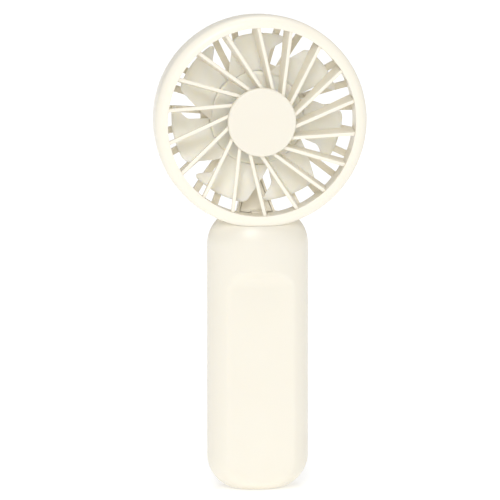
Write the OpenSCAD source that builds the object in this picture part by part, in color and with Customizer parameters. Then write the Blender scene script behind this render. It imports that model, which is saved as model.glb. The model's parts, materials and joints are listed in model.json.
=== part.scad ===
// Handheld electric fan: a round caged head on a rounded grip with a flat front face.
// Millimetres. The origin is the centre of the base face, +Z is up and the front faces -Y.

/* [Overall] */
// Height from the base face to the top of the head
total_h = 200.5; // [198:0.5:204]
// Outer diameter of the head
head_d = 88.8; // [88:0.2:90]
// Front face of the head's rim, measured from the handle's middle plane
rim_y = -14.1; // [-15:0.1:-14]
// Rear end of the head's rim
rim_back_y = 7; // [6.6:0.1:7.4]

/* [Handle] */
// Width of the handle
handle_w = 42.5; // [42:0.1:44]
// Depth of the rounded handle before its front is cut flat
handle_t = 29.5; // [29:0.1:30.5]
// Top of the handle, hidden behind the rim
handle_h = 118.4; // [117.6:0.2:119]
// Corner radius at the foot of the handle
foot_r = 14.1; // [13.5:0.1:14.5]
// Corner radius at the shoulders of the handle
shoulder_r = 14.9; // [14:0.1:15.5]
// Depth of the flat face in front of the middle plane
flat_y = 11; // [10.8:0.1:11.4]
// Height where the flat face starts to sweep forward
sweep_z = 85.4; // [84:0.2:87]
// Radius of that sweep
sweep_r = 9.2; // [8.5:0.1:10]
// Wall of the handle shells
wall = 1.8; // [1.6:0.1:2]

/* [Grille] */
// Number of swept fins in front
fin_count = 18; // [16:1:20]
// Thickness of one fin
fin_t = 1.5; // [1.3:0.1:1.7]
// Distance of a fin's line from the fan's axis
fin_offset = 8.1; // [7:0.1:9]
// Lean of the fins, their rear edges turned anticlockwise
fin_lean = 8; // [6:1:11]
// Radius of the opening inside the rim
opening_r = 39.4; // [39.2:0.1:39.6]
// Radius of the cap on the grille's hub
cap_r = 14.3; // [13.9:0.1:14.6]
// Ribs across the rear, apart from the wide arm at the foot
rib_count = 23; // [18:1:24]

/* [Impeller] */
// Number of blades
blade_count = 7; // [5:1:7]
// Radius at the blade tips
tip_r = 35.6; // [34.5:0.1:36.2]
// Radius of the impeller's hub
hub_r = 19.6; // [19:0.1:20]

/* [Hidden] */
$fn = 72;

e = 0.01;              // overlap that keeps joined shapes from only touching
big = 200;             // longer than the part, for cutting blocks
head_r = head_d / 2;
head_z = total_h - head_r;
handle_a = handle_w / 2;
handle_b = handle_t / 2;

// Head: depths along the fan's axis, which is local +z of in_head() and points to the rear
nose_r = 3.9;                       // rounding from the rim's face to its side
crest_r = head_r - nose_r;          // radius of the rim's foremost circle
lip_r = crest_r - opening_r;        // rounding on the edge of the opening
seam_y = -6.4;                      // parting line between front grille and housing
seam_gap = 0.3;
tail_r = 2;                         // rounding at the rear of the rim
taper = 1;                          // how much smaller the rim is at the rear
skin = 1.6;                         // wall of the rim
grille_back_y = -3.6;               // rear edge of the rim's inner wall
fin_depth = 9.4;                    // front to back at the rim
joint = 0.01;                       // parting of pieces that are moulded in one
boss_r = 13.2;                      // hub of the front grille
boss_y = rim_y + 2;
cap_y = boss_y - 2.3;
lock_angle = 14;                    // width of one bayonet lug, and of the tab in front of it
ring_split_y = 4;                   // parting line between housing and rear grille
rear_open_r = head_r - 2.8;         // clear radius at the rear

// Rear cage: its ribs follow one arc from the rim to the hub plate
arc_x = 20;
arc_y = -19.9;
arc_r = 33.4;
rib_w = 2.8;
rib_t = 2;
rib_pitch = 309.5 / (rib_count - 1);  // the ribs leave room for the wide arm
rib_start = 205.6;                  // clock angle of the first rib
arm_w = 18;                         // width of the wide arm at the rim
rear_hub_r = 22.4;
rear_hub_y = 11.6;
rear_hub_t = 2.2;

// Motor
shaft_r = 1;
shaft_gap = 0.03;                   // running clearance of the shaft in its bearings
bearing_r = 3;
tube_r = 3.9;
can_r = 13.5;
can_t = 0.8;
pole_count = 9;
motor_screw_r = 8.4;                // pitch radius of the motor's screws

// Handle internals
battery_r = 9.2;
battery_h = 65;
battery_y = 1.2;
battery_z = 7;
board_y = 3;                        // rear face of the main board
board_t = 1.2;
board_w = 23;
board_z = 76;
board_h = 26;
button_z = 97;
button_r = 5.5;
led_z = 88.4;
led_pitch = 3.2;
usb_z = 80.4;
neck_screw_z = head_z - head_r - 4.5;
// Shell screws: across, height, and the faces of the front and rear bosses they draw together
screws = [[-14.4, 20, -1.6, -1.5], [14.4, 20, -1.6, -1.5],
    [-5.5, neck_screw_z, -3.55, 2.55], [5.5, neck_screw_z, -3.55, 2.55]];

// Puts shapes built round +z on the fan's axis, local -y upward
module in_head() translate([0, 0, head_z]) rotate([-90, 0, 0]) children();

// Turns a shape drawn along +x to a clock angle, 0 at the top and clockwise seen from the front
module at_clock(angle) rotate([0, 0, angle - 90]) children();

module ring(r_out, r_in, y0, y1) translate([0, 0, y0]) difference() {
    cylinder(r = r_out, h = y1 - y0);
    translate([0, 0, -1]) cylinder(r = r_in, h = y1 - y0 + 2);
}

module disc(r, y0, y1) translate([0, 0, y0]) cylinder(r = r, h = y1 - y0);

// Sector of a ring, drawn about +x
module ring_sector(r_out, r_in, y0, y1, angle) rotate([0, 0, -angle / 2])
    rotate_extrude(angle = angle) translate([r_in, y0]) square([r_out - r_in, y1 - y0]);

// Shapes that lie fore and aft in the handle, drawn round +z and pointing to the rear
module fore_aft(x, z, y) translate([x, y, z]) rotate([-90, 0, 0]) children();

// ---- Head --------------------------------------------------------------------------------

// Half section of the head, as radius against depth, drawn in by inset
module head_section(inset = 0) {
    nose_y = rim_y + nose_r;
    tail_y = rim_back_y - tail_r;
    side_r = head_r - inset;
    back_r = head_r - taper - inset;
    translate([crest_r, nose_y]) circle(r = nose_r - inset);
    translate([head_r - taper - tail_r, tail_y]) circle(r = max(tail_r - inset, 0.3));
    polygon([[0, rim_y + inset], [crest_r, rim_y + inset], [crest_r, nose_y], [side_r, nose_y],
        [side_r, seam_y], [back_r, tail_y], [head_r - taper - tail_r, tail_y],
        [head_r - taper - tail_r, rim_back_y - inset], [0, rim_back_y - inset]]);
}

// Part of the rim's wall between two depths
module rim_wall(y0, y1, thickness) rotate_extrude() intersection() {
    difference() {
        head_section();
        head_section(thickness);
    }
    translate([opening_r, y0]) square([head_r, y1 - y0]);
}

// One fin, as a slab on a line that passes the axis at fin_offset
module fin() intersection() {
    translate([0, fin_offset, rim_y + 0.6]) rotate([fin_lean, 0, 0])
        translate([0, fin_t / 2, 0]) rotate([90, 0, 0]) linear_extrude(fin_t)
            polygon([[4, 2.1], [opening_r + 2, 0], [opening_r + 2, fin_depth],
                [opening_r - 3, fin_depth], [4, fin_depth - 2.2]]);
    ring(opening_r - joint, boss_r + joint, rim_y - 2, grille_back_y + 2);
}

module grille_rim() color("ivory") in_head() {
    rim_wall(rim_y, seam_y - seam_gap / 2, skin);
    rotate_extrude() {
        translate([crest_r - 0.1, rim_y + lip_r]) circle(r = lip_r - 0.1);
        translate([opening_r, rim_y + lip_r]) square([1.4, grille_back_y - rim_y - lip_r]);
    }
    for (i = [0:2]) at_clock(60 + i * 120)
        ring_sector(head_r - 2.35, opening_r + 1, -5.2, -4, lock_angle);
}

module grille_fins() color("ivory") in_head()
    for (i = [0:fin_count - 1]) rotate([0, 0, 16.3 + i * 360 / fin_count]) fin();

module grille_hub() color("ivory") in_head() difference() {
    disc(boss_r, boss_y, grille_back_y - 2);
    disc(boss_r - 1.6, boss_y + 2.2, grille_back_y);
    disc(1.5, boss_y - 1, boss_y + 3);
}

module grille_cap() color("ivory") in_head() {
    edge = 0.9;
    rotate_extrude() {
        translate([cap_r - edge, cap_y + edge]) circle(r = edge);
        translate([0, cap_y]) square([cap_r - edge, edge]);
        translate([0, cap_y + edge]) square([cap_r, boss_y - cap_y - edge]);
    }
    disc(1.45, boss_y - e, boss_y + 2.4);
}

// The housing's neck plate, clamped between the two handle shells
module neck() {
    translate([-9, -3.5, head_z - head_r - 8]) cube([18, 6, 10]);
}

// Passage for the motor's leads, up through the neck and the foot of the rim
module lead_passage() {
    translate([-2.6, -1.9, head_z - head_r - 9]) cube([5.2, 2.9, 13]);
}

module head_housing() color("ivory") difference() {
    union() {
        in_head() {
            rim_wall(seam_y + seam_gap / 2, ring_split_y, skin + 0.2);
            for (i = [0:2]) at_clock(60 + i * 120) {
                ring_sector(head_r - 1.5, opening_r + 1.75, seam_y + seam_gap / 2, -5.5, lock_angle);
                rotate([0, 0, lock_angle / 2 + 2.2])
                    ring_sector(head_r - 1.5, opening_r + 1.75, -5.6, -4, 3);
            }
        }
        difference() {
            neck();
            in_head() disc(head_r - 1.2, -20, 20);
        }
    }
    in_head() ring(head_r - 1.85, 30, ring_split_y - 2.4, ring_split_y + 1);
    for (x = [-5.5, 5.5]) fore_aft(x, neck_screw_z, -10) cylinder(r = 1.1, h = 20);
    lead_passage();
}

// Section along the rear cage's arc, between two distances inside it
module cage_section(outer, inner) intersection() {
    translate([arc_x, arc_y]) difference() {
        circle(r = arc_r - outer);
        circle(r = arc_r - inner);
    }
    translate([rear_hub_r + joint, 0]) square([rear_open_r - rear_hub_r - 2 * joint, 30]);
}

module rear_rim() color("ivory") in_head() {
    rotate_extrude() intersection() {
        head_section();
        translate([rear_open_r, ring_split_y]) square([10, 10]);
    }
    ring(head_r - 1.95, rear_open_r, ring_split_y - 2.2, ring_split_y + e);
}

module rear_ribs() color("ivory") in_head() for (i = [0:rib_count - 1])
    at_clock(rib_start + i * rib_pitch) rotate([90, 0, 0]) translate([0, 0, -rib_w / 2])
        linear_extrude(rib_w) cage_section(0, rib_t);

// Plan of the wide arm at the foot of the cage, narrowed by a margin
module arm_plan(margin) linear_extrude(40) polygon([[rear_hub_r - 2, 1.6 - margin],
    [rear_open_r + 1, arm_w / 2 - margin], [rear_open_r + 1, margin - arm_w / 2],
    [rear_hub_r - 2, margin - 1.6]]);

// Tapering tray that carries the motor's leads
module lead_arm() color("ivory") in_head() at_clock(180) difference() {
    intersection() {
        rotate_extrude() cage_section(-1.6, 2);
        arm_plan(0);
    }
    intersection() {
        rotate_extrude() cage_section(-0.4, 3);
        arm_plan(1);
    }
}

// Cover over the tray, with a chute that hides the leads where they leave the housing
module lead_cover() color("ivory") in_head() at_clock(180) {
    intersection() {
        rotate_extrude() cage_section(0.7, 1.8);
        arm_plan(1.35);
        ring(rear_open_r - 1.5, rear_hub_r + 2.6, 0, 30);
    }
    difference() {
        union() {
            translate([rear_open_r - 2.5, -2.6, -1.6]) cube([2.4, 5.2, 3.1]);
            translate([rear_open_r - 2.5, -2.6, 1.4]) cube([2.2, 5.2, 4.5]);
        }
        translate([rear_open_r - 1.7, -1.9, -0.9]) cube([10, 3.8, 30]);
    }
}

module rear_hub() color("ivory") in_head() difference() {
    disc(rear_hub_r, rear_hub_y, rear_hub_y + rear_hub_t);
    disc(12.4, rear_hub_y + rear_hub_t - 0.9, 30);
    for (i = [0:2]) at_clock(i * 120) translate([motor_screw_r, 0, 0]) cylinder(r = 1.1, h = 30);
}

module rear_cap() color("ivory") in_head() {
    back = rear_hub_y + rear_hub_t;
    rotate_extrude() {
        translate([0, back - 0.2]) square([11.4, 0.9]);
        translate([0, back - 0.2]) square([12.1, 0.2]);
        translate([11.4, back]) circle(r = 0.7);
    }
    for (i = [0:2]) at_clock(i * 120) ring_sector(12.1, 11, back - 0.7, back - 0.1, 24);
}

// ---- Impeller ----------------------------------------------------------------------------

blade_t = 0.9;
blade_front_y = -2.1;
blade_back_y = 5.4;
hub_front_y = 1.4;
hub_back_y = 7.6;
span_steps = 11;
chord_steps = 10;

// Clock angles of a blade's two side edges, for a share u of the span
function front_edge(u) = -39 + 33 * u - 11 * u * u;
function back_edge(u) = let (t = min(1, max(0, (u - 0.5) / 0.45))) 12.2 + 8.6 * t * t * (3 - 2 * t);

// Share of the span that the blade reaches at a share s of the chord: both tip corners are rounded
function corner(c, w, drop) = c < 1 - w ? 0 : drop * (1 - sqrt(max(0, 1 - pow((c - 1 + w) / w, 2))));
function tip_share(s) = s < 0.5 ? 1 - corner(1 - 2 * s, 0.24, 0.1) : 1 - corner(2 * s - 1, 0.16, 0.07);

function blade_point(i, j, side) = let (
        s = j / chord_steps,
        u = i / span_steps * tip_share(s),
        r = hub_r + joint + u * (tip_r - hub_r),
        a = front_edge(u) + s * (back_edge(u) - front_edge(u)),
        y = blade_front_y + s * (blade_back_y - blade_front_y) + 1.1 * 4 * s * (1 - s),
        half = blade_t / 2 * (0.45 + 0.55 * sqrt(4 * s * (1 - s))))
    [r * sin(a), -r * cos(a), y + side * half];

module blade() {
    n = chord_steps + 1;
    m = (span_steps + 1) * n;
    points = [for (side = [-1, 1]) for (i = [0:span_steps]) for (j = [0:chord_steps])
        blade_point(i, j, side)];
    front = [for (i = [0:span_steps - 1]) for (j = [0:chord_steps - 1]) each [
        [i * n + j, (i + 1) * n + j + 1, i * n + j + 1],
        [i * n + j, (i + 1) * n + j, (i + 1) * n + j + 1]]];
    back = [for (f = front) [f[0] + m, f[2] + m, f[1] + m]];
    edge = concat([for (j = [0:chord_steps]) j], [for (i = [1:span_steps]) i * n + chord_steps],
        [for (j = [chord_steps - 1:-1:0]) span_steps * n + j],
        [for (i = [span_steps - 1:-1:1]) i * n]);
    sides = [for (k = [0:len(edge) - 1]) let (p = edge[k], q = edge[(k + 1) % len(edge)]) each [
        [p, q + m, p + m], [p, q, q + m]]];
    polyhedron(points, concat(front, back, sides));
}

module impeller_hub() color("ivory") in_head() {
    difference() {
        rotate_extrude() {
            translate([hub_r - 0.8, hub_front_y + 0.8]) circle(r = 0.8);
            translate([0, hub_front_y]) square([hub_r - 0.8, 1.2]);
            translate([hub_r - 1.6, hub_front_y + 0.8]) square([1.6, hub_back_y - hub_front_y - 0.8]);
        }
        disc(shaft_r, -10, 10);
    }
    ring(can_r + 1.4, can_r, hub_front_y + 1.1, hub_back_y - 1);
    for (i = [0:blade_count - 1]) at_clock(20 + i * 360 / blade_count)
        translate([can_r + 1, -0.5, hub_front_y + 1.1]) cube([hub_r - can_r - 2, 1, 3.6]);
}

module impeller_blades() color("ivory") in_head()
    for (i = [0:blade_count - 1]) rotate([0, 0, i * 360 / blade_count]) blade();

// ---- Motor -------------------------------------------------------------------------------

can_y = hub_front_y + 1.2;

module rotor_can() color("silver") in_head() difference() {
    disc(can_r, can_y, 9.2);
    disc(can_r - can_t, can_y + can_t, 20);
    disc(shaft_r, -5, 5);
    for (i = [0:5]) at_clock(i * 60) translate([8, 0, can_y - 1]) cylinder(r = 1.6, h = 3);
}

module rotor_magnet() color("dimgray") in_head() ring(can_r - can_t, 11.3, 4.2, 8.8);

module motor_shaft() color("silver") in_head() disc(shaft_r, 0.6, 11.2);

module shaft_clip() color("dimgray") in_head() ring(2.2, shaft_r, 10.5, 10.9);

module bearing(y0) in_head() {
    ring(bearing_r, 2.2, y0, y0 + 2);
    ring(2.25, 1.75, y0 + 0.4, y0 + 1.6);
    ring(1.8, shaft_r + shaft_gap, y0, y0 + 2);
}

module front_bearing() color("silver") bearing(4.2);

module rear_bearing() color("silver") bearing(8.2);

module motor_base() color("gray") in_head() difference() {
    union() {
        disc(tube_r, 3.9, rear_hub_y);
        disc(12, 10.7, rear_hub_y);
        for (i = [0:2]) at_clock(i * 120)
            translate([motor_screw_r, 0, 9.8]) cylinder(r = 2, h = 1.1);
    }
    disc(bearing_r, 4.2, 6.2);
    disc(bearing_r, 8.2, 10.2);
    disc(1.6, 0, 10.3);
    disc(2.5, 10.1, 20);
    for (i = [0:2]) at_clock(i * 120)
        translate([motor_screw_r, 0, 9]) cylinder(r = 0.85, h = 5);
}

module stator_core() color("darkgray") in_head() translate([0, 0, 4.9]) linear_extrude(2.8) difference() {
    union() {
        circle(r = 6);
        for (i = [0:pole_count - 1]) rotate(i * 360 / pole_count - 90) {
            translate([5.5, -0.9]) square([5, 1.8]);
            intersection() {
                difference() {
                    circle(r = 10.9);
                    circle(r = 10);
                }
                polygon([[0, 0], [15, -3.9], [15, 3.9]]);
            }
        }
    }
    circle(r = tube_r);
}

module stator_windings() color("peru") in_head()
    for (i = [0:pole_count - 1]) at_clock(i * 360 / pole_count) difference() {
        translate([6.3, -1.55, 4.2]) cube([3.4, 3.1, 4.2]);
        translate([5, -0.95, 4.85]) cube([6, 1.9, 2.9]);
    }

module motor_board() color("darkgreen") in_head() difference() {
    union() {
        ring(10, tube_r, 8.9, 9.6);
        at_clock(70) translate([7, -1.2, 8.5]) cube([2.2, 2.4, 0.6]);
    }
    for (i = [0:2]) at_clock(i * 120)
        translate([motor_screw_r, 0, 8]) cylinder(r = 2.1, h = 5);
}

// Pan-head screw, its head towards local +z and its tip at the origin
module pan_screw(r, length, head_r, head_h) difference() {
    union() {
        cylinder(r = r, h = length + head_h / 2);
        translate([0, 0, length]) cylinder(r = head_r, h = head_h);
    }
    for (a = [0, 90]) rotate([0, 0, a])
        translate([-head_r * 0.62, -0.2, length + head_h * 0.4]) cube([head_r * 1.24, 0.4, 2]);
}

module motor_screws() color("silver") in_head() for (i = [0:2]) at_clock(i * 120)
    translate([motor_screw_r, 0, 10]) pan_screw(0.84, rear_hub_y + rear_hub_t - 10.9, 1.7, 0.55);

// ---- Handle ------------------------------------------------------------------------------

// Half outline of the handle, turned to make its body
module handle_outline(inset) {
    a = handle_a - inset;
    foot = foot_r - inset;
    shoulder = shoulder_r - inset;
    top = handle_h - inset;
    difference() {
        translate([0, inset]) square([a, top - inset]);
        difference() {
            translate([a - foot, inset - 1]) square([foot + 1, foot + 1]);
            translate([a - foot, inset + foot]) circle(r = foot);
        }
        difference() {
            translate([a - shoulder, top - shoulder]) square([shoulder + 1, shoulder + 1]);
            translate([a - shoulder, top - shoulder]) circle(r = shoulder);
        }
    }
}

// Solid body: the outline turned about Z and flattened to an oval, with its front cut to a flat face
module handle_body(inset = 0) difference() {
    hull() scale([1, (handle_b - inset) / (handle_a - inset), 1])
        rotate_extrude($fn = 56) handle_outline(inset, $fn = 40);
    translate([-big / 2, -big - flat_y + inset, -1]) cube([big, big, sweep_z + 1]);
    translate([0, -flat_y - sweep_r, sweep_z]) rotate([0, 90, 0])
        cylinder(r = sweep_r + inset, h = big, center = true);
}

// Room for the head and its rear cage with a small clearance, open towards the front
module head_room(gap) in_head() {
    rotate_extrude() {
        head_section(-gap);
        translate([0, -40]) square([crest_r, 40]);
        intersection() {
            translate([arc_x, arc_y]) circle(r = arc_r + gap);
            square([rear_open_r, 30]);
        }
    }
    intersection() {
        rotate_extrude() intersection() {
            translate([arc_x, arc_y]) circle(r = arc_r + 1.6 + gap);
            square([rear_open_r + 0.3, 30]);
        }
        at_clock(180) translate([0, -arm_w / 2 - 0.4, 0]) cube([big, arm_w + 0.8, big]);
    }
}

module boss(x, z, y0, y1, r) fore_aft(x, z, y0) cylinder(r = r, h = y1 - y0);

// The rear shell has a lip that stands inside the front shell's edge
lip_t = 0.9;
lip_h = 1.4;

module handle_front_shell() color("ivory") difference() {
    union() {
        difference() {
            handle_body();
            handle_body(wall);
        }
        intersection() {
            handle_body(0.5);
            for (s = screws) boss(s[0], s[1], -20, s[2], 2.5);
        }
    }
    translate([-big / 2, -0.05, -1]) cube(big);
    intersection() {
        handle_body(wall - lip_t);
        translate([-big / 2, -lip_h - 0.1, -1]) cube(big);
    }
    for (s = screws) boss(s[0], s[1], s[2] - 4.5, 1, 0.9);
    head_room(0.35);
}

module handle_rear_shell() color("ivory") difference() {
    union() {
        difference() {
            handle_body();
            handle_body(wall);
            translate([-big / 2, -big + 0.05, -1]) cube(big);
        }
        intersection() {
            difference() {
                handle_body(wall - lip_t + 0.1);
                handle_body(wall);
            }
            translate([-big / 2, -lip_h, -1]) cube([big, lip_h + 2, big]);
        }
        intersection() {
            handle_body(0.5);
            union() {
                for (s = screws) boss(s[0], s[1], s[3], 20, 2.9);
                for (x = [-8.6, 8.6]) boss(x, led_z + 3.4, board_y + e, 20, 2.2);
            }
        }
    }
    for (s = screws) {
        boss(s[0], s[1], -3, 20, 1.1);
        boss(s[0], s[1], s[3] + 3, 20, 2.1);
    }
    for (x = [-8.6, 8.6]) boss(x, led_z + 3.4, board_y - 1, board_y + 5, 0.7);
    boss(0, button_z, 5, 20, button_r + 0.35);
    for (i = [-1.5:1.5]) boss(i * led_pitch, led_z, 5, 20, 0.85);
    slot_body(4.9, 1.9, 5, 20);
    head_room(0.15);
}

module shell_screws() color("silver") for (s = screws)
    fore_aft(s[0], s[1], s[2] - 4) pan_screw(0.88, s[3] - s[2] + 7, 1.9, 1.2);

// ---- Button, board and charging port -------------------------------------------------------

// Block with round ends, running fore and aft
module slot_body(half_w, half_h, y0, y1) {
    for (x = [-1, 1]) boss(x * (half_w - half_h), usb_z, y0, y1, half_h);
    translate([half_h - half_w, y0, usb_z - half_h]) cube([2 * (half_w - half_h), y1 - y0, 2 * half_h]);
}

module power_button() color("ivory") {
    face_y = handle_b + 0.5;
    fore_aft(0, button_z, 0) rotate_extrude() {
        translate([0, face_y - 3.6]) square([button_r - 0.5, 3.6]);
        translate([0, face_y - 3.6]) square([button_r, 3.1]);
        translate([button_r - 0.5, face_y - 0.5]) circle(r = 0.5);
        translate([0, face_y - 3.6 - 1]) square([button_r + 0.8, 1]);
        translate([0, 8.15]) square([1.5, 4]);
    }
}

module button_guide() color("gainsboro") fore_aft(0, button_z, 0) difference() {
    ring(7.6, button_r + 1.15, board_y + e, 11.2);
    for (a = [0, 90]) rotate([0, 0, a])
        translate([-10, -2, board_y - 1]) cube([20, 4, 5.6]);
}

module tact_switch() color("dimgray") difference() {
    translate([-3, board_y, button_z - 3]) cube([6, 3.5, 6]);
    boss(0, button_z, board_y + 1.5, 10, 1.6);
}

module tact_plunger() color("black") boss(0, button_z, board_y + 2.3, 8.1, 1.3);

module main_board() color("darkgreen") difference() {
    translate([-board_w / 2, board_y - board_t, board_z]) cube([board_w, board_t, board_h]);
    for (x = [-8.6, 8.6]) boss(x, led_z + 3.4, 0, 10, 1);
}

module board_screws() color("silver") for (x = [-8.6, 8.6])
    translate([x, board_y + 3, led_z + 3.4]) rotate([90, 0, 0])
        pan_screw(0.68, 3 + board_t, 1.5, 0.8);

module control_chips() color("black") {
    translate([-7.5, board_y - board_t - 1.4, 79]) cube([5, 1.4, 4]);
    translate([-7.5, board_y - board_t - 1.1, 95]) cube([4, 1.1, 4]);
    translate([4, board_y - board_t - 0.9, 97]) cube([3, 0.9, 1.6]);
}

module inductor() color("dimgray") difference() {
    boss(3.6, 83, board_y - board_t - 3, board_y - board_t, 3.1);
    boss(3.6, 83, board_y - board_t - 3.5, board_y - board_t - 2.6, 1.9);
}

module capacitors() color("tan") for (i = [0:2])
    translate([-2 + i * 3.2, board_y - board_t - 1, 90.5]) cube([1.6, 1, 2.6]);

module charge_leds() color("lightyellow") for (i = [-1.5:1.5])
    translate([i * led_pitch - 0.8, board_y, led_z - 0.6]) cube([1.6, 0.8, 1.2]);

module light_pipes() color("white") {
    translate([-1.5 * led_pitch - 1, board_y + 1.4, led_z - 1]) cube([3 * led_pitch + 2, 1.2, 2]);
    for (i = [-1.5:1.5]) boss(i * led_pitch, led_z, board_y + 1, handle_b - 0.35, 0.8);
}

module usb_c_shell() color("silver") difference() {
    slot_body(4.5, 1.6, board_y + 0.1, 13.3);
    slot_body(4.2, 1.3, board_y + 1.6, 14);
}

module usb_c_tongue() color("black")
    translate([-3.3, board_y + 1.6, usb_z - 0.35]) cube([6.6, 8.6, 0.7]);

// ---- Battery and leads -------------------------------------------------------------------

module battery_cell() color("lightseagreen") translate([0, battery_y, battery_z]) difference() {
    cylinder(r = battery_r, h = battery_h);
    translate([0, 0, battery_h - 0.6]) cylinder(r = battery_r - 1.2, h = 1);
}

module battery_terminal() color("silver") translate([0, battery_y, battery_z + battery_h - 0.6]) {
    cylinder(r = 6.2, h = 0.4);
    cylinder(r = 3, h = 0.9);
}

module battery_tabs() color("silver") {
    translate([-3, battery_y - 5, battery_z + battery_h + 0.3]) cube([6, 8, 0.15]);
    translate([-3, battery_y - 5, battery_z - 0.15]) cube([6, 8, 0.15]);
}

module battery_pads() color("dimgray") for (z = [battery_z + 8, battery_z + battery_h - 20])
    translate([0, battery_y, z]) intersection() {
        ring(battery_r + 2.3, battery_r + 0.02, 0, 12);
        translate([-6, 0, -1]) cube([12, 20, 14]);
    }

// Round lead: a tube swept through a list of points, each ring square to the path
module lead(points, r, sides = 8) {
    n = len(points);
    function unit(v) = v / norm(v);
    tangents = [for (i = [0:n - 1]) unit(points[min(i + 1, n - 1)] - points[max(i - 1, 0)])];
    side = [for (t = tangents) unit(cross(t, abs(t[0]) > 0.9 ? [0, 1, 0] : [1, 0, 0]))];
    rings = [for (i = [0:n - 1]) for (k = [0:sides - 1]) let (a = k * 360 / sides)
        points[i] + r * (cos(a) * side[i] + sin(a) * cross(tangents[i], side[i]))];
    walls = [for (i = [0:n - 2]) for (k = [0:sides - 1]) let (k2 = (k + 1) % sides) each [
        [i * sides + k, (i + 1) * sides + k, (i + 1) * sides + k2],
        [i * sides + k, (i + 1) * sides + k2, i * sides + k2]]];
    caps = [[for (k = [0:sides - 1]) k], [for (k = [sides - 1:-1:0]) (n - 1) * sides + k]];
    polyhedron(rings, concat(walls, caps));
}

// Smooth curve through hand-set points, as a Catmull-Rom spline
function spline(p, steps = 5) = let (n = len(p)) concat([for (i = [0:n - 2]) for (k = [0:steps - 1]) let (
        t = k / steps, a = p[max(i - 1, 0)], b = p[i], c = p[i + 1], d = p[min(i + 2, n - 1)])
    0.5 * (2 * b + (c - a) * t + (2 * a - 5 * b + 4 * c - d) * t * t + (3 * b - a - 3 * c + d) * t * t * t)],
    [p[n - 1]]);

// Points of the leads, from the board outward
battery_lead_up = [[6, 1.2, 77.5], [6, -1, 76], [4.6, -2.4, 74.6], [3, -2.4, 73.4], [1.5, -2, 73.1]];
battery_lead_down = [[-8, 1.2, 77.5], [-9.2, -0.6, 75.5], [-10.3, -2.6, 71], [-10.5, -3, 60],
    [-10.5, -3, 30], [-10.4, -3, 13], [-10, -2.9, 8], [-8, -2.6, 5.9], [-5, -2.1, 5.8], [-2, -1.5, 6.1]];
motor_lead = [[0, 1.3, 100.4], [0, 1, 102.6], [0, -0.3, 105], [0, -0.5, 110], [0, -0.2, 113.4],
    [0, 1.2, 114.8], [0, 3.4, 115.1], [0, 5.3, 115.1], [0, 6.15, 115.5], [0, 6.74, 116.2],
    [0, 8.06, 118.1], [0, 9.3, 120.2], [0, 11.4, 124.8], [0, 12.6, 129.2], [0, 12.85, 131],
    [0, 12.3, 132.2], [0, 11.2, 132.8], [0, 10.5, 134.2], [0, 10.15, 137], [0, 10.1, 147]];

module battery_leads() color("firebrick") {
    lead(spline(battery_lead_up), 0.6);
    lead(spline(battery_lead_down), 0.6);
}

module motor_leads() color("black") for (i = [-1:1])
    lead(spline([for (p = motor_lead) p + [i * 1.1, 0, 0]], 4), 0.45);

grille_rim();
grille_fins();
grille_hub();
grille_cap();
head_housing();
rear_rim();
rear_ribs();
rear_hub();
lead_arm();
lead_cover();
rear_cap();
impeller_hub();
impeller_blades();
rotor_can();
rotor_magnet();
motor_shaft();
shaft_clip();
front_bearing();
rear_bearing();
motor_base();
stator_core();
stator_windings();
motor_board();
motor_screws();
handle_front_shell();
handle_rear_shell();
shell_screws();
power_button();
button_guide();
tact_switch();
tact_plunger();
main_board();
board_screws();
control_chips();
inductor();
capacitors();
charge_leds();
light_pipes();
usb_c_shell();
usb_c_tongue();
battery_cell();
battery_terminal();
battery_tabs();
battery_pads();
battery_leads();
motor_leads();
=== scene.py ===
"""Looks for the handheld fan: smooth handle shells and blades, and a material for every piece."""
import json
import math

import bmesh
import bpy
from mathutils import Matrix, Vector


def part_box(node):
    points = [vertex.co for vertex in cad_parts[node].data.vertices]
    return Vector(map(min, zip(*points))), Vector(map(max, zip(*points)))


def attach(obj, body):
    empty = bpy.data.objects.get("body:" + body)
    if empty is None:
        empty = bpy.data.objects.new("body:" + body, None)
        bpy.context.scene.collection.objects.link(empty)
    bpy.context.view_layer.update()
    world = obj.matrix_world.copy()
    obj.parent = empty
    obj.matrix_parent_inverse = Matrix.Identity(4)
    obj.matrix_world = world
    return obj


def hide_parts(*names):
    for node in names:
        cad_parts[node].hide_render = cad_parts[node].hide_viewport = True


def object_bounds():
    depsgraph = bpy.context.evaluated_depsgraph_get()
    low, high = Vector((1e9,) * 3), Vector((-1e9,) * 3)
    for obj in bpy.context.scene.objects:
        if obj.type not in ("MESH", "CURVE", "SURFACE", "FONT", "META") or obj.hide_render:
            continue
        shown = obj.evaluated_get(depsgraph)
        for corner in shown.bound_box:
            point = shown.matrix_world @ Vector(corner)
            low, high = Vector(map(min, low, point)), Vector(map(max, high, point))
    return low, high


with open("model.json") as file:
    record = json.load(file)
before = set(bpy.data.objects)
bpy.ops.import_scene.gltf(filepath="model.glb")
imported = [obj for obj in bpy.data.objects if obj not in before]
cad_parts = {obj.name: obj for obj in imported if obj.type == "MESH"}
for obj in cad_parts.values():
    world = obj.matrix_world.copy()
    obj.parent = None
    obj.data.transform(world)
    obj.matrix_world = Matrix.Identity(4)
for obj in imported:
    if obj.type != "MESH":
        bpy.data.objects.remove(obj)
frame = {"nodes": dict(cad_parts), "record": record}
cad_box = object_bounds()
MM = 0.001

# ---- Camera: azimuth and elevation of the view, in degrees --------------------------------
CAM_AZIMUTH = -8.0
CAM_ELEVATION = 8.5
CAM_DISTANCE = 2.5
VIEW_WIDTH = 500 / 2393.0          # width seen at the aim point, in metres: 500 pixels at 2393 a metre
SENSOR = 36.0
AIM = Vector((0.0, 0.0, cad_box[1][2] / 2))
SHIFT = (-0.0151, 0.002)


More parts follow.
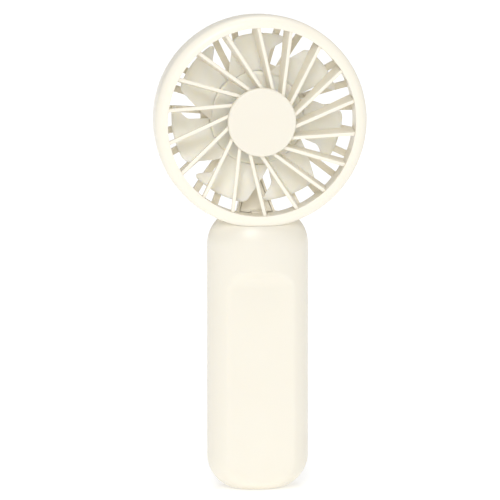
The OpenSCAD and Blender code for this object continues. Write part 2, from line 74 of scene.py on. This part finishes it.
def make_camera():
    data = bpy.data.cameras.new("camera")
    cam = bpy.data.objects.new("camera", data)
    bpy.context.scene.collection.objects.link(cam)
    az, el = math.radians(CAM_AZIMUTH), math.radians(CAM_ELEVATION)
    back = Vector((math.sin(az) * math.cos(el), -math.cos(az) * math.cos(el), math.sin(el)))
    cam.location = AIM + back * CAM_DISTANCE
    cam.rotation_euler = (-back).to_track_quat("-Z", "Y").to_euler()
    data.sensor_width = SENSOR
    data.lens = SENSOR * CAM_DISTANCE / VIEW_WIDTH
    data.shift_x, data.shift_y = SHIFT
    bpy.context.scene.camera = cam


# ---- Light and floor ----------------------------------------------------------------------
def soft_light(name, elevation, azimuth, strength, spread, only=None):
    """Even, soft light from one side; azimuth 0 is the front, and a negative one is the left."""
    data = bpy.data.lights.new(name, "SUN")
    data.energy = strength
    data.angle = math.radians(spread)
    data.color = (1.0, 0.96, 0.88) if only else (1.0, 1.0, 1.0)
    lamp = bpy.data.objects.new(name, data)
    bpy.context.scene.collection.objects.link(lamp)
    el, az = math.radians(elevation), math.radians(azimuth)
    source = Vector((math.sin(az) * math.cos(el), -math.cos(az) * math.cos(el), math.sin(el)))
    lamp.rotation_euler = source.to_track_quat("Z", "Y").to_euler()
    if only:
        lit = bpy.data.collections.new(name)
        for obj in only:
            lit.objects.link(obj)
        lamp.light_linking.receiver_collection = lit


def make_studio():
    scene = bpy.context.scene
    scene.view_settings.view_transform = "Standard"
    world = bpy.data.worlds.new("studio")
    scene.world = world
    world.use_nodes = True
    sky = world.node_tree.nodes["Background"]
    sky.inputs["Color"].default_value = (1.0, 1.0, 1.0, 1.0)
    sky.inputs["Strength"].default_value = 0.48
    soft_light("key", 30.0, -12.0, 0.92, 20.0)
    soft_light("top", 86.0, 0.0, 0.9, 40.0)

    mesh = bpy.data.meshes.new("floor")
    half = 6.0
    corners = [(-half, -half, 0), (half, -half, 0), (half, half, 0), (-half, half, 0)]
    mesh.from_pydata(corners, [], [(0, 1, 2, 3)])
    floor = bpy.data.objects.new("floor", mesh)
    scene.collection.objects.link(floor)
    mat = bpy.data.materials.new("floor")
    mat.use_nodes = True
    shader = mat.node_tree.nodes["Principled BSDF"]
    shader.inputs["Base Color"].default_value = (0.94, 0.94, 0.94, 1.0)
    shader.inputs["Roughness"].default_value = 0.9
    shader.inputs["Specular IOR Level"].default_value = 0.1
    shader.inputs["Emission Color"].default_value = (1.0, 1.0, 1.0, 1.0)
    shader.inputs["Emission Strength"].default_value = 0.28
    mesh.materials.append(mat)


# ---- Materials ----------------------------------------------------------------------------
class Shader:
    """A material's node tree, with short ways to add what it is made of."""

    def __init__(self, name):
        self.material = bpy.data.materials.new(name)
        self.material.use_nodes = True
        self.tree = self.material.node_tree
        self.main = self.tree.nodes["Principled BSDF"]
        self.place = self.add("ShaderNodeTexCoord").outputs["Object"]

    def add(self, kind, **facts):
        node = self.tree.nodes.new(kind)
        for key, value in facts.items():
            setattr(node, key, value)
        return node

    def link(self, a, b):
        self.tree.links.new(a, b)

    def stretched(self, scale):
        mapping = self.add("ShaderNodeMapping")
        mapping.inputs["Scale"].default_value = scale
        self.link(self.place, mapping.inputs["Vector"])
        return mapping.outputs["Vector"]

    def noise(self, scale, detail=2.0, place=None):
        node = self.add("ShaderNodeTexNoise")
        node.inputs["Scale"].default_value = scale
        node.inputs["Detail"].default_value = detail
        self.link(place or self.place, node.inputs["Vector"])
        return node.outputs["Fac"]

    def ramp(self, value, low, high, start=0.3, end=0.7):
        node = self.add("ShaderNodeMapRange")
        node.inputs["From Min"].default_value = start
        node.inputs["From Max"].default_value = end
        node.inputs["To Min"].default_value = low
        node.inputs["To Max"].default_value = high
        self.link(value, node.inputs["Value"])
        return node.outputs["Result"]

    def mix(self, value, first, second, start=0.3, end=0.7):
        node = self.add("ShaderNodeMix", data_type="RGBA")
        self.link(self.ramp(value, 0.0, 1.0, start, end), node.inputs["Factor"])
        node.inputs["A"].default_value = (*first, 1.0)
        node.inputs["B"].default_value = (*second, 1.0)
        return node.outputs["Result"]

    def bump(self, value, depth, strength=1.0):
        node = self.add("ShaderNodeBump")
        node.inputs["Distance"].default_value = depth
        node.inputs["Strength"].default_value = strength
        self.link(value, node.inputs["Height"])
        self.link(node.outputs["Normal"], self.main.inputs["Normal"])

    def set(self, **sockets):
        for key, value in sockets.items():
            self.main.inputs[key.replace("_", " ")].default_value = value


def moulded(name, colour, shade, gloss, grain=0.004, soft=0.0):
    """Moulded plastic: faint flow marks in the colour, uneven gloss and a fine grain in the skin."""
    s = Shader(name)
    s.link(s.mix(s.noise(45.0, 3.0), colour, shade), s.main.inputs["Base Color"])
    s.link(s.ramp(s.noise(160.0, 4.0), gloss - 0.02, gloss + 0.03), s.main.inputs["Roughness"])
    s.bump(s.noise(700.0, 1.0), grain * MM, 0.5)
    s.main.inputs["IOR"].default_value = 1.49
    if soft:
        s.main.inputs["Subsurface Weight"].default_value = soft
        s.main.inputs["Subsurface Radius"].default_value = (1.0, 0.85, 0.6)
        s.main.inputs["Subsurface Scale"].default_value = 3.0 * MM
    return s.material


def metal(name, colour, shade, rough, stretch=(1.0, 1.0, 1.0), bump=0.003):
    """Metal with turning or rolling lines along the unstretched axis."""
    s = Shader(name)
    lines = s.noise(2200.0, 3.0, s.stretched(stretch))
    s.set(Metallic=1.0)
    s.link(s.mix(s.noise(300.0, 4.0), colour, shade), s.main.inputs["Base Color"])
    s.link(s.ramp(lines, rough - 0.07, rough + 0.1), s.main.inputs["Roughness"])
    s.bump(lines, bump * MM, 0.5)
    return s.material


def wound(name):
    """Enamelled copper wire, as fine ridges across the coils."""
    s = Shader(name)
    wave = s.add("ShaderNodeTexWave", bands_direction="Y")
    wave.inputs["Scale"].default_value = 900.0
    wave.inputs["Distortion"].default_value = 0.6
    s.link(s.place, wave.inputs["Vector"])
    s.set(Metallic=0.85)
    s.link(s.mix(wave.outputs["Fac"], (0.32, 0.10, 0.035), (0.80, 0.36, 0.16), 0.1, 0.9),
           s.main.inputs["Base Color"])
    s.link(s.ramp(s.noise(400.0), 0.22, 0.36), s.main.inputs["Roughness"])
    s.bump(wave.outputs["Fac"], 0.06 * MM)
    return s.material


def circuit(name):
    """Solder mask over copper tracks, with the tracks a little paler and standing proud."""
    s = Shader(name)
    cells = s.add("ShaderNodeTexVoronoi", feature="DISTANCE_TO_EDGE", distance="MANHATTAN")
    cells.inputs["Scale"].default_value = 420.0
    s.link(s.place, cells.inputs["Vector"])
    tracks = cells.outputs["Distance"]
    s.link(s.mix(tracks, (0.05, 0.21, 0.10), (0.018, 0.10, 0.045), 0.02, 0.06),
           s.main.inputs["Base Color"])
    s.link(s.ramp(s.noise(500.0), 0.22, 0.34), s.main.inputs["Roughness"])
    s.bump(s.ramp(tracks, 1.0, 0.0, 0.02, 0.07), 0.03 * MM)
    return s.material


def foamed(name):
    """Open-celled foam."""
    s = Shader(name)
    cells = s.add("ShaderNodeTexVoronoi")
    cells.inputs["Scale"].default_value = 2600.0
    s.link(s.place, cells.inputs["Vector"])
    s.link(s.mix(cells.outputs["Distance"], (0.012, 0.012, 0.012), (0.055, 0.055, 0.055), 0.1, 0.6),
           s.main.inputs["Base Color"])
    s.link(s.ramp(s.noise(300.0), 0.85, 0.97), s.main.inputs["Roughness"])
    s.bump(cells.outputs["Distance"], 0.12 * MM)
    return s.material


def clear(name):
    """Clear acrylic, a little frosted."""
    s = Shader(name)
    s.link(s.mix(s.noise(120.0), (0.96, 0.97, 0.98), (0.90, 0.93, 0.95)), s.main.inputs["Base Color"])
    s.link(s.ramp(s.noise(500.0), 0.10, 0.26), s.main.inputs["Roughness"])
    s.set(Transmission_Weight=0.55, IOR=1.49)
    s.bump(s.noise(1500.0), 0.002 * MM, 0.5)
    return s.material


CREAM = ((0.915, 0.868, 0.755), (0.908, 0.858, 0.742))
BLADE = ((0.93, 0.89, 0.79), (0.92, 0.875, 0.77))
STEEL = ((0.62, 0.62, 0.63), (0.50, 0.50, 0.51))
MATERIALS = {
    "cream_shell": lambda n: moulded(n, *CREAM, gloss=0.30, grain=0.002, soft=0.12),
    "cream_blade": lambda n: moulded(n, *BLADE, gloss=0.42, grain=0.002, soft=0.85),
    "bright_steel": lambda n: metal(n, (0.80, 0.80, 0.81), (0.70, 0.70, 0.71), 0.16, (1.0, 14.0, 1.0)),
    "steel": lambda n: metal(n, *STEEL, 0.32, (12.0, 1.0, 12.0)),
    "magnet": lambda n: moulded(n, (0.035, 0.035, 0.038), (0.06, 0.06, 0.062), gloss=0.55, grain=0.02),
    "grey_plastic": lambda n: moulded(n, (0.19, 0.20, 0.21), (0.16, 0.17, 0.18), gloss=0.45),
    "white_plastic": lambda n: moulded(n, (0.80, 0.80, 0.78), (0.74, 0.74, 0.72), gloss=0.45),
    "black_plastic": lambda n: moulded(n, (0.012, 0.012, 0.013), (0.022, 0.022, 0.024), gloss=0.38),
    "copper": wound,
    "board": circuit,
    "ferrite": lambda n: moulded(n, (0.03, 0.03, 0.032), (0.05, 0.05, 0.05), gloss=0.7, grain=0.03),
    "ceramic": lambda n: moulded(n, (0.38, 0.26, 0.15), (0.30, 0.20, 0.11), gloss=0.5),
    "led": lambda n: moulded(n, (0.90, 0.84, 0.48), (0.84, 0.76, 0.40), gloss=0.2, soft=0.3),
    "light_guide": clear,
    "cell_wrap": lambda n: moulded(n, (0.02, 0.20, 0.26), (0.015, 0.16, 0.21), gloss=0.22, grain=0.01),
    "foam": foamed,
    "red_lead": lambda n: moulded(n, (0.45, 0.012, 0.01), (0.36, 0.01, 0.008), gloss=0.4, grain=0.01),
    "black_lead": lambda n: moulded(n, (0.013, 0.013, 0.013), (0.024, 0.024, 0.024), gloss=0.4,
                                    grain=0.01),
}
made = {name: build(name) for name, build in MATERIALS.items()}
node_slot = {p["node"]: p["material_slot"] for p in frame["record"]["subparts"]}


def close_up(obj):
    """Joins points that coincide and turns every face outward."""
    bm = bmesh.new()
    bm.from_mesh(obj.data)
    bmesh.ops.remove_doubles(bm, verts=bm.verts, dist=0.002 * MM)
    bmesh.ops.recalc_face_normals(bm, faces=bm.faces)
    bm.to_mesh(obj.data)
    bm.free()


def finish_piece(obj, body, slot, *nodes):
    """Gives a built piece its body and its finish, and hides the CAD nodes it stands for."""
    obj.data.materials.clear()
    obj.data.materials.append(made[slot])
    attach(obj, body)
    if nodes:
        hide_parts(*nodes)


def new_object(name, verts, faces):
    """A smooth-shaded mesh object in the scene."""
    mesh = bpy.data.meshes.new(name)
    mesh.from_pydata(verts, [], faces)
    mesh.shade_smooth()
    mesh.update()
    obj = bpy.data.objects.new(name, mesh)
    bpy.context.scene.collection.objects.link(obj)
    return obj


# ---- Handle shells ------------------------------------------------------------------------
rear_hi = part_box("handle_rear_shell")[1]
rim_lo, rim_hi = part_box("grille_rim")
back_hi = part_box("rear_rim")[1]
HEAD_Z = (rim_lo[2] + rim_hi[2]) / 2
HEAD_R = (rim_hi[2] - rim_lo[2]) / 2
HANDLE_A = rear_hi[0]
HANDLE_B = rear_hi[1]
HANDLE_H = 118.4 * MM
FOOT_R = 14.1 * MM
SHOULDER_R = 14.9 * MM
WALL = 1.8 * MM
FLAT_Y = 11.0 * MM
SWEEP_Z = 85.4 * MM
SWEEP_R = 9.2 * MM
EDGE_SOFT = 0.45 * MM              # how softly the flat face meets the oval
SEAM = 0.05 * MM                   # half the gap between the shells
HEAD_GAP = 0.12 * MM               # clearance round the head
BUTTON_HOLE_R = 5.85 * MM
LED_HOLE_R = 0.85 * MM
LED_WIDTH = 1.6 * MM
USB_HOLE_R = 1.9 * MM
USB_SPREAD = 6.0 * MM
SCREW_HEAD_R = 1.9 * MM
SCREW_HOLE_R = 2.1 * MM
ARC_STEPS = 36
SIDE_STEPS = 110
TURN_STEPS = 120                   # steps round half of the oval


def handle_profile(inset):
    """Half outline of the handle, from the middle of its foot to that of its top, as (radius, height)."""
    a, foot, shoulder, top = HANDLE_A - inset, FOOT_R - inset, SHOULDER_R - inset, HANDLE_H - inset
    points = [(0.0, inset), ((a - foot) * 0.5, inset)]
    for i in range(ARC_STEPS + 1):
        t = math.pi / 2 * i / ARC_STEPS
        points.append((a - foot + foot * math.sin(t), inset + foot - foot * math.cos(t)))
    low, high = inset + foot, top - shoulder
    points += [(a, low + (high - low) * i / SIDE_STEPS) for i in range(1, SIDE_STEPS)]
    for i in range(ARC_STEPS + 1):
        t = math.pi / 2 * i / ARC_STEPS
        points.append((a - shoulder + shoulder * math.cos(t), top - shoulder + shoulder * math.sin(t)))
    points += [((a - shoulder) * 0.5, top), (0.0, top)]
    return points


def flat_depth(z, inset):
    """Depth of the flat face at a height; it sweeps forward at its top and then ends."""
    rise = z - SWEEP_Z
    radius = SWEEP_R + inset
    if rise <= 0:
        return FLAT_Y - inset
    if rise >= radius:
        return 1.0
    return FLAT_Y - inset + radius - math.sqrt(radius * radius - rise * rise)


def soft_min(p, q, width):
    return (p + q - math.sqrt((p - q) ** 2 + width * width)) / 2


def turn_angles():
    """Angles round the front half of the oval, closer together beside the seams."""
    even = [math.pi * i / TURN_STEPS for i in range(TURN_STEPS + 1)]
    near = [0.006, 0.014]
    return sorted(set(even) | set(near) | {math.pi - t for t in near})


def half_shell(name, side):
    """One shell of the handle, front for side -1 and rear for side 1, closed all over."""
    angles = turn_angles()
    squash = HANDLE_B / HANDLE_A
    verts, rows = [], []
    for inset in (0.0, WALL):
        for r, z in handle_profile(inset):
            row = []
            for t in angles:
                x, y = r * math.cos(t), r * squash * math.sin(t)
                if side < 0:
                    y = max(min(soft_min(y, flat_depth(z, inset), EDGE_SOFT), y), 0.0)
                groove = 1 - 0.18 * MM / max(r, MM) * math.exp(-(y / (0.3 * MM)) ** 2) * (inset == 0.0)
                row.append(len(verts))
                verts.append((x * groove, side * (y + SEAM), z))
            rows.append(row)
    count = len(rows) // 2
    faces = []

    def quad(a, b, c, d, flip):
        faces.append((a, b, c, d) if flip else (d, c, b, a))

    for part in range(2):
        for i in range(part * count, part * count + count - 1):
            for j in range(len(angles) - 1):
                quad(rows[i][j], rows[i][j + 1], rows[i + 1][j + 1], rows[i + 1][j],
                     (part == 0) == (side > 0))
    for j in (0, len(angles) - 1):
        for i in range(count - 1):
            quad(rows[i][j], rows[i + 1][j], rows[i + count + 1][j], rows[i + count][j],
                 (j == 0) == (side > 0))
    obj = new_object(name, verts, faces)
    close_up(obj)
    return obj


def lathe(name, profile, steps=128):
    """Solid turned about the head's axis from (radius, depth) points; both ends lie on the axis."""
    verts, faces = [], []
    for k in range(steps):
        t = 2 * math.pi * k / steps
        verts += [(r * math.cos(t), y, HEAD_Z + r * math.sin(t)) for r, y in profile]
    n = len(profile)
    for k in range(steps):
        for i in range(n - 1):
            a, b = k * n + i, (k + 1) % steps * n + i
            faces.append((a, a + 1, b + 1, b))
    obj = new_object(name, verts, faces)
    close_up(obj)
    return obj


def carve(obj, *cutters):
    """Cuts the cutters out of obj and removes them."""
    for cutter in cutters:
        tool = obj.modifiers.new("cut", "BOOLEAN")
        tool.operation = "DIFFERENCE"
        tool.solver = "EXACT"
        tool.object = cutter
    graph = bpy.context.evaluated_depsgraph_get()
    mesh = bpy.data.meshes.new_from_object(obj.evaluated_get(graph))
    obj.modifiers.clear()
    obj.data = mesh
    for cutter in cutters:
        bpy.data.objects.remove(cutter)


def sharpen(obj, degrees=38.0):
    """Smooth shading that stays crisp across edges sharper than this."""
    obj.data.shade_smooth()
    obj.data.set_sharp_from_angle(angle=math.radians(degrees))


def head_cutter(gap):
    """Room for the head: its rim with a small gap all round, open towards the front."""
    nose = 3.9 * MM
    front, back = rim_lo[1], back_hi[1]
    side = HEAD_R + gap
    points = [(0.0, -40 * MM), (HEAD_R - nose, -40 * MM), (HEAD_R - nose, front - gap)]
    for i in range(1, 17):
        t = math.pi / 2 * i / 16
        points.append((HEAD_R - nose + (nose + gap) * math.sin(t),
                       front + nose - (nose + gap) * math.cos(t)))
    points += [(side, -6.4 * MM), (side - 1.0 * MM, back - 1.6 * MM), (side - 1.6 * MM, back - 0.6 * MM),
               (side - 3.0 * MM, back + gap)]
    arc_x, arc_y, arc_r = 20 * MM, -19.9 * MM, 35.2 * MM
    for r in (40.0, 38.0, 36.0, 33.0, 30.0):
        points.append((r * MM, arc_y + math.sqrt(arc_r ** 2 - (r * MM - arc_x) ** 2)))
    points.append((0.0, points[-1][1]))
    return lathe("head_cutter", points)


def post(name, x, z, radius, y0, y1, sides=48, spread=0.0):
    """Round bar along Y; with a spread, a bar with two round ends that far apart."""
    verts = []
    for y in (y0, y1):
        for k in range(sides):
            t = 2 * math.pi * (k + 0.5) / sides
            shift = math.copysign(spread / 2, math.cos(t))
            verts.append((x + shift + radius * math.cos(t), y, z + radius * math.sin(t)))
    faces = [tuple(range(sides)), tuple(range(2 * sides - 1, sides - 1, -1))]
    faces += [(k, k + sides, (k + 1) % sides + sides, (k + 1) % sides) for k in range(sides)]
    obj = new_object(name, verts, faces)
    close_up(obj)
    return obj


def centre(node):
    lo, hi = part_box(node)
    return (Vector(lo) + Vector(hi)) / 2


def build_handle():
    front = half_shell("handle_front", -1)
    carve(front, head_cutter(HEAD_GAP))
    sharpen(front)
    finish_piece(front, "frame", "cream_shell", "handle_front_shell")

    rear = half_shell("handle_rear", 1)
    button, usb, leds = centre("power_button"), centre("usb_c_shell"), centre("charge_leds")
    inside, outside = 5 * MM, 22 * MM
    cutters = [head_cutter(HEAD_GAP),
               post("button_hole", 0.0, button.z, BUTTON_HOLE_R, inside, outside, 96),
               post("usb_hole", usb.x, usb.z, USB_HOLE_R, inside, outside, 64, spread=USB_SPREAD)]
    led_lo, led_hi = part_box("charge_leds")
    pitch = (led_hi[0] - led_lo[0] - LED_WIDTH) / 3
    cutters += [post("led_hole", leds.x + (i - 1.5) * pitch, leds.z, LED_HOLE_R, inside, outside)
                for i in range(4)]
    screw_lo, screw_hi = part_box("shell_screws")
    wide = screw_hi[0] - SCREW_HEAD_R
    low, high = screw_lo[2] + SCREW_HEAD_R, screw_hi[2] - SCREW_HEAD_R
    cutters += [post("screw_hole", s * wide, low, SCREW_HOLE_R, 1.5 * MM, outside) for s in (-1, 1)]
    cutters += [post("screw_hole", s * 5.5 * MM, high, SCREW_HOLE_R, 5.55 * MM, outside) for s in (-1, 1)]
    carve(rear, *cutters)
    sharpen(rear)
    finish_piece(rear, "frame", "cream_shell", "handle_rear_shell")


# ---- Impeller blades ----------------------------------------------------------------------
BLADES = 7
HUB_R = 19.6 * MM
SPAN_STEPS = 44
CHORD_STEPS = 40
BLADE_T = 0.9 * MM


def corner(c, width, drop):
    """How far a blade's rounded tip corner drops at c, from 0 at its start to drop at 1."""
    return 0.0 if c < 1 - width else drop * (1 - math.sqrt(max(0.0, 1 - ((c - 1 + width) / width) ** 2)))


def blade_point(i, j, side, tip_r):
    """Point i along the span and j along the chord, on the front (-1) or back (1) of a blade."""
    s = 0.5 - 0.5 * math.cos(math.pi * j / CHORD_STEPS)
    share = 1 - corner(1 - 2 * s, 0.24, 0.1) if s < 0.5 else 1 - corner(2 * s - 1, 0.16, 0.07)
    u = i / SPAN_STEPS * share
    r = HUB_R + u * (tip_r - HUB_R)
    t = min(1.0, max(0.0, (u - 0.5) / 0.45))
    lead = -39 + 33 * u - 11 * u * u
    trail = 12.2 + 8.6 * t * t * (3 - 2 * t)
    a = math.radians(lead + s * (trail - lead))
    y = (-2.1 + 7.5 * s + 4.4 * s * (1 - s)) * MM
    half = BLADE_T / 2 * (0.35 + 0.65 * math.sqrt(math.sqrt(4 * s * (1 - s))))
    half *= min(1.0, 0.35 + 0.65 * math.sqrt(min(1.0, (1 - i / SPAN_STEPS) * 16)))
    return r * math.sin(a), y + side * half, HEAD_Z + r * math.cos(a)


def build_blades():
    tip_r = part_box("impeller_blades")[1][2] - HEAD_Z
    verts, faces = [], []
    n, m = CHORD_STEPS + 1, (SPAN_STEPS + 1) * (CHORD_STEPS + 1)
    rim = [j for j in range(n)] + [i * n + CHORD_STEPS for i in range(1, SPAN_STEPS + 1)]
    rim += [SPAN_STEPS * n + j for j in range(CHORD_STEPS - 1, -1, -1)]
    rim += [i * n for i in range(SPAN_STEPS - 1, 0, -1)]
    for b in range(BLADES):
        turn = 2 * math.pi * b / BLADES
        base = len(verts)
        for side in (-1, 1):
            for i in range(SPAN_STEPS + 1):
                for j in range(CHORD_STEPS + 1):
                    x, y, z = blade_point(i, j, side, tip_r)
                    dz = z - HEAD_Z
                    verts.append((x * math.cos(turn) + dz * math.sin(turn), y,
                                  HEAD_Z - x * math.sin(turn) + dz * math.cos(turn)))
        for i in range(SPAN_STEPS):
            for j in range(CHORD_STEPS):
                a = base + i * n + j
                faces.append((a, a + 1, a + n + 1, a + n))
                faces.append((a + m, a + m + n, a + m + n + 1, a + m + 1))
        for k, p in enumerate(rim):
            q = rim[(k + 1) % len(rim)]
            faces.append((base + p, base + p + m, base + q + m, base + q))
    obj = new_object("blades", verts, faces)
    close_up(obj)
    sharpen(obj, 50.0)
    finish_piece(obj, "rotor", "cream_blade", "impeller_blades")
    return obj


# ---- CAD nodes that stay ------------------------------------------------------------------
EDGES = {"grille_fins": 0.35, "rear_ribs": 0.35, "rear_hub": 0.3, "lead_arm": 0.25, "lead_cover": 0.2}


def soften(obj, width):
    """Rounds a CAD node's sharp edges."""
    weld = obj.modifiers.new("weld", "WELD")
    weld.merge_threshold = 0.001 * MM
    bevel = obj.modifiers.new("bevel", "BEVEL")
    bevel.width = width * MM
    bevel.segments = 3
    bevel.limit_method = "ANGLE"
    bevel.angle_limit = math.radians(35.0)
    bevel.use_clamp_overlap = True


def dress_nodes():
    for name, obj in frame["nodes"].items():
        obj.data.materials.clear()
        obj.data.materials.append(made[node_slot[name]])
        if name in EDGES:
            soften(obj, EDGES[name])


make_camera()
make_studio()
dress_nodes()
build_handle()
blades = build_blades()

# Two weak lamps lift what the fins would leave in shade
nodes = frame["nodes"]
inner = [nodes[name] for name in ("impeller_hub", "rear_ribs", "rear_hub", "rear_rim", "rear_cap",
                                  "lead_arm", "lead_cover", "head_housing")]
soft_light("inner_fill", CAM_ELEVATION, CAM_AZIMUTH, 0.85, 25.0, [blades, *inner])
soft_light("rim_fill", CAM_ELEVATION, CAM_AZIMUTH, 0.25, 25.0, [nodes["grille_rim"], nodes["grille_fins"]])
